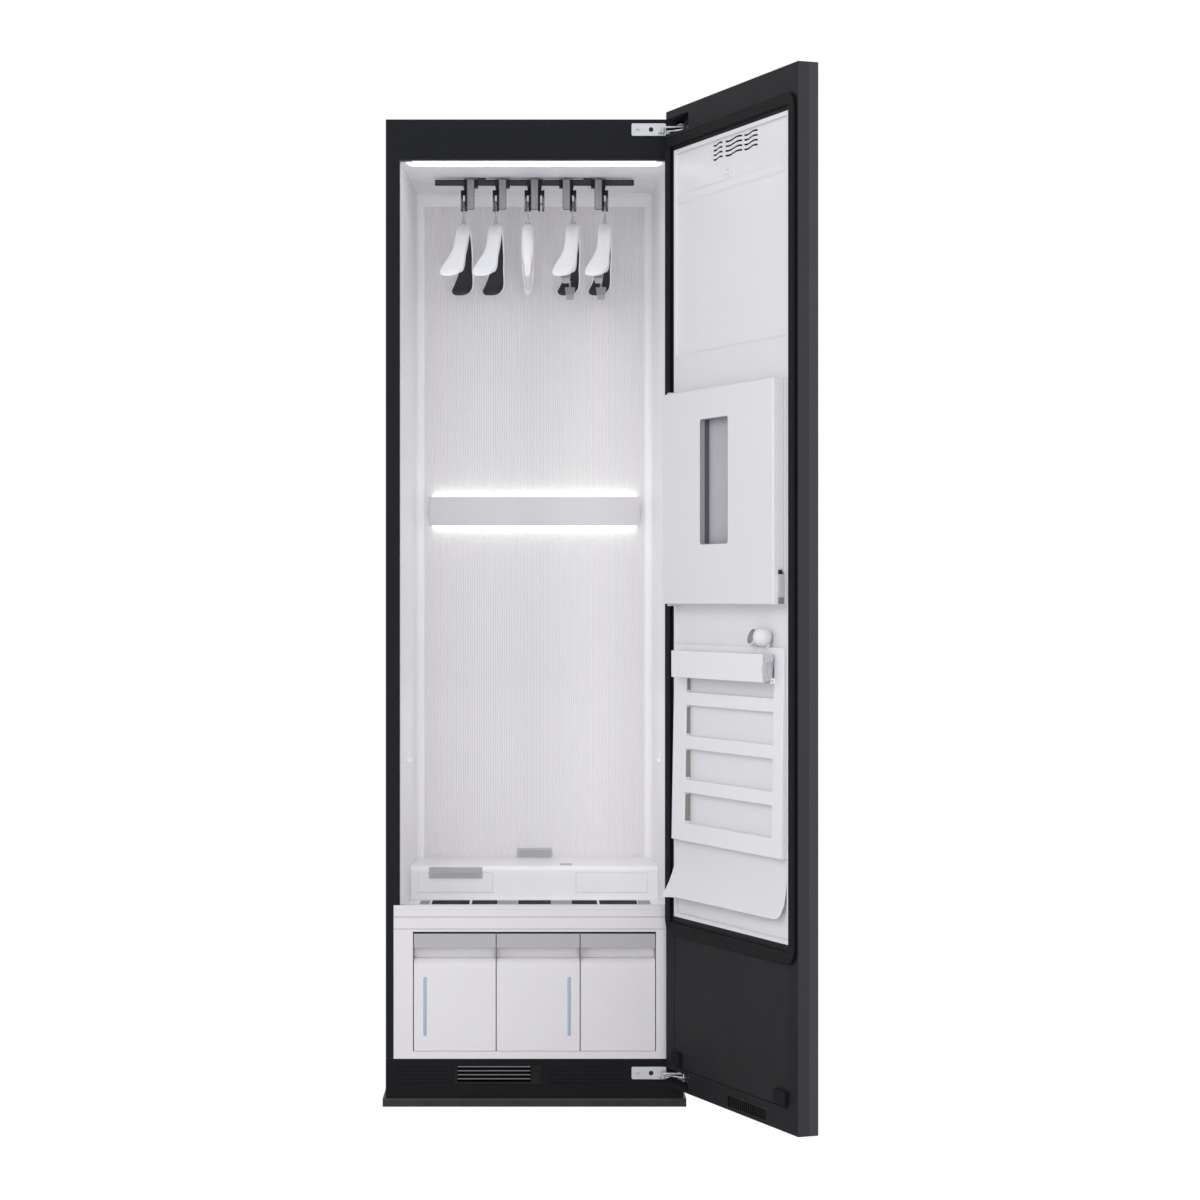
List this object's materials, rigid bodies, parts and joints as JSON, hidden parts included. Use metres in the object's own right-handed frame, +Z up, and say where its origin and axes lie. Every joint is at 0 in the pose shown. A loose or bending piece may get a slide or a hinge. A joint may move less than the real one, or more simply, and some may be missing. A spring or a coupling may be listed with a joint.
{
  "type": "clothes care steam cabinet",
  "caption": "Tall steam cabinet for clothes: open door with trouser press and hem rack, hanging chamber with shaking rail, containers below.",
  "frame": {"origin": "on the floor plane, in the middle of the case's width, under the front face of the case; the base plate's flat underside", "axes": "+X to the right as one faces the cabinet, +Y to its back, +Z up"},
  "size_m": [0.8161, 1.1536, 1.984],
  "materials": {
    "case_paint": "satin dark paint",
    "zinc_sheet": "zinc-coated sheet",
    "dark_plastic": "fine moulded grain",
    "plinth_plastic": "moulded",
    "white_plastic": "satin moulded",
    "liner_white": "satin moulded",
    "grey_plastic": "moulded",
    "lamp_white": "diffuser",
    "rail_metal": "powder coat",
    "holder_grey": "moulded",
    "hanger_white": "moulded",
    "hinge_steel": "pressed and plated",
    "compressor_paint": "black enamel",
    "coil_aluminium": "fin stock",
    "machine_plastic": "moulded",
    "boiler_steel": "drawn",
    "bumper_rubber": "moulded",
    "gasket_rubber": "extruded",
    "press_white": "satin moulded",
    "flap_rubber": "soft sheet",
    "tank_plastic": "satin moulded",
    "band_grey": "moulded"
  },
  "bodies": {
    "cabinet": {"base_plate": "plinth_plastic", "levelling_feet": "zinc_sheet", "side_panels": "case_paint", "top_panel": "case_paint", "back_panel": "zinc_sheet", "front_frame": "dark_plastic", "kick_panel": "dark_plastic", "lower_frame": "white_plastic", "liner_sides": "liner_white", "liner_ceiling": "liner_white", "liner_back": "liner_white", "chamber_floor": "liner_white", "steam_housing": "liner_white", "vent_plates": "grey_plastic", "light_bar": "liner_white", "ceiling_light": "lamp_white", "shelf_clips": "liner_white", "shaker_motor": "boiler_steel", "compressor": "compressor_paint", "heat_exchangers": "coil_aluminium", "blower_housing": "machine_plastic", "steam_generator": "boiler_steel", "pumps": "machine_plastic", "control_box": "machine_plastic", "hinge_plates": "hinge_steel"},
    "door": {"door_hinge_brackets": "hinge_steel", "door_front_panel": "case_paint", "door_edge_frame": "dark_plastic", "door_grille": "dark_plastic", "door_lower_panel": "dark_plastic", "door_bumpers": "bumper_rubber", "door_liner": "liner_white", "door_gasket": "gasket_rubber", "garment_hook": "grey_plastic", "press_back_board": "press_white", "hem_rack": "press_white", "hem_knobs": "press_white", "drip_flap": "flap_rubber"},
    "link_a": {"hinge_link_a": "hinge_steel"},
    "link_b": {"hinge_link_b": "hinge_steel"},
    "rail": {"hanger_rail": "rail_metal", "hanger_holders": "holder_grey"},
    "crank": {"shaker_crank": "hinge_steel"},
    "water_tank": {"water_tank": "tank_plastic", "water_tank_lid": "band_grey"},
    "drain_tank": {"drain_tank": "tank_plastic", "drain_tank_lid": "band_grey"},
    "lint_drawer": {"lint_drawer": "tank_plastic", "lint_drawer_lid": "band_grey"},
    "press": {"press_plate": "press_white"},
    "latch": {"press_latch": "grey_plastic"},
    "clamp": {"hem_clamp": "press_white"},
    "lever": {"hem_lever": "grey_plastic"},
    "blower_wheel": {"blower_wheel": "machine_plastic"},
    "intake": {"intake_grille": "dark_plastic"},
    "hanger_1": {"hanger_1": "hanger_white"},
    "hanger_2": {"hanger_2": "hanger_white"},
    "hanger_3": {"hanger_3": "hanger_white"},
    "hanger_4": {"hanger_4": "hanger_white"},
    "hanger_5": {"hanger_5": "hanger_white"}
  },
  "joints": [
    {"name": "door_hinge", "type": "hinge", "parent": "cabinet", "child": "door", "pos_m": [0.285, -0.0284, 1], "axis": [0, 0, 1], "range_deg": [-111, 0]},
    {"name": "link_a_hinge", "type": "hinge", "parent": "cabinet", "child": "link_a", "pos_m": [0.26758, -0.00398, 1], "axis": [0, 0, 1], "range_deg": [-32.5, 0.5]},
    {"name": "link_b_hinge", "type": "hinge", "parent": "cabinet", "child": "link_b", "pos_m": [0.25672, -0.01839, 1], "axis": [0, 0, 1], "range_deg": [-32.5, 0.5]},
    {"name": "rail_shake", "type": "slide", "parent": "cabinet", "child": "rail", "axis": [1, 0, 0], "range_m": [-0.015, 0.015]},
    {"name": "crank_turn", "type": "hinge", "parent": "cabinet", "child": "crank", "pos_m": [0, 0.25, 1.9], "axis": [0, 0, 1], "range_deg": [-90, 90]},
    {"name": "hanger_1_swing", "type": "hinge", "parent": "rail", "child": "hanger_1", "pos_m": [-0.147, 0.25, 1.838], "axis": [1, 0, 0], "range_deg": [-12, 12]},
    {"name": "hanger_2_swing", "type": "hinge", "parent": "rail", "child": "hanger_2", "pos_m": [-0.0805, 0.25, 1.838], "axis": [1, 0, 0], "range_deg": [-12, 12]},
    {"name": "hanger_3_swing", "type": "hinge", "parent": "rail", "child": "hanger_3", "pos_m": [-0.014, 0.25, 1.838], "axis": [1, 0, 0], "range_deg": [-12, 12]},
    {"name": "hanger_4_swing", "type": "hinge", "parent": "rail", "child": "hanger_4", "pos_m": [0.0805, 0.25, 1.838], "axis": [1, 0, 0], "range_deg": [-12, 12]},
    {"name": "hanger_5_swing", "type": "hinge", "parent": "rail", "child": "hanger_5", "pos_m": [0.147, 0.25, 1.838], "axis": [1, 0, 0], "range_deg": [-12, 12]},
    {"name": "water_tank_slide", "type": "slide", "parent": "cabinet", "child": "water_tank", "axis": [0, -1, 0], "range_m": [0, 0.25]},
    {"name": "drain_tank_slide", "type": "slide", "parent": "cabinet", "child": "drain_tank", "axis": [0, -1, 0], "range_m": [0, 0.25]},
    {"name": "lint_drawer_slide", "type": "slide", "parent": "cabinet", "child": "lint_drawer", "axis": [0, -1, 0], "range_m": [0, 0.25]},
    {"name": "intake_slide", "type": "slide", "parent": "cabinet", "child": "intake", "axis": [0, -1, 0], "range_m": [0, 0.06]},
    {"name": "blower_spin", "type": "hinge", "parent": "cabinet", "child": "blower_wheel", "pos_m": [0.165, 0.44, 0.118], "axis": [0, 1, 0], "continuous": true},
    {"name": "press_hinge", "type": "hinge", "parent": "door", "child": "press", "pos_m": [0.2683, -0.07391, 1.211], "axis": [0, 0, -1], "range_deg": [0, 90]},
    {"name": "latch_flip", "type": "hinge", "parent": "press", "child": "latch", "pos_m": [0.44235, -0.53988, 1.037], "axis": [0, 0, -1], "range_deg": [0, 20], "stiffness_Nm_per_rad": 0.02},
    {"name": "clamp_tilt", "type": "hinge", "parent": "door", "child": "clamp", "pos_m": [0.36109, -0.30447, 0.865], "axis": [0.3584, -0.9336, 0], "range_deg": [0, 60], "stiffness_Nm_per_rad": 0.3, "springref_deg": -28.65},
    {"name": "lever_flip", "type": "hinge", "parent": "clamp", "child": "lever", "pos_m": [0.42866, -0.49865, 0.906], "axis": [-0.3584, 0.9336, 0], "range_deg": [0, 35]}
  ],
  "couplings": [
    {"joint": "link_a_hinge", "follows": "door_hinge", "ratio": 0.28829},
    {"joint": "link_b_hinge", "follows": "door_hinge", "ratio": 0.28829},
    {"joint": "crank_turn", "follows": "rail_shake", "rad_per_m": 104.7}
  ]
}
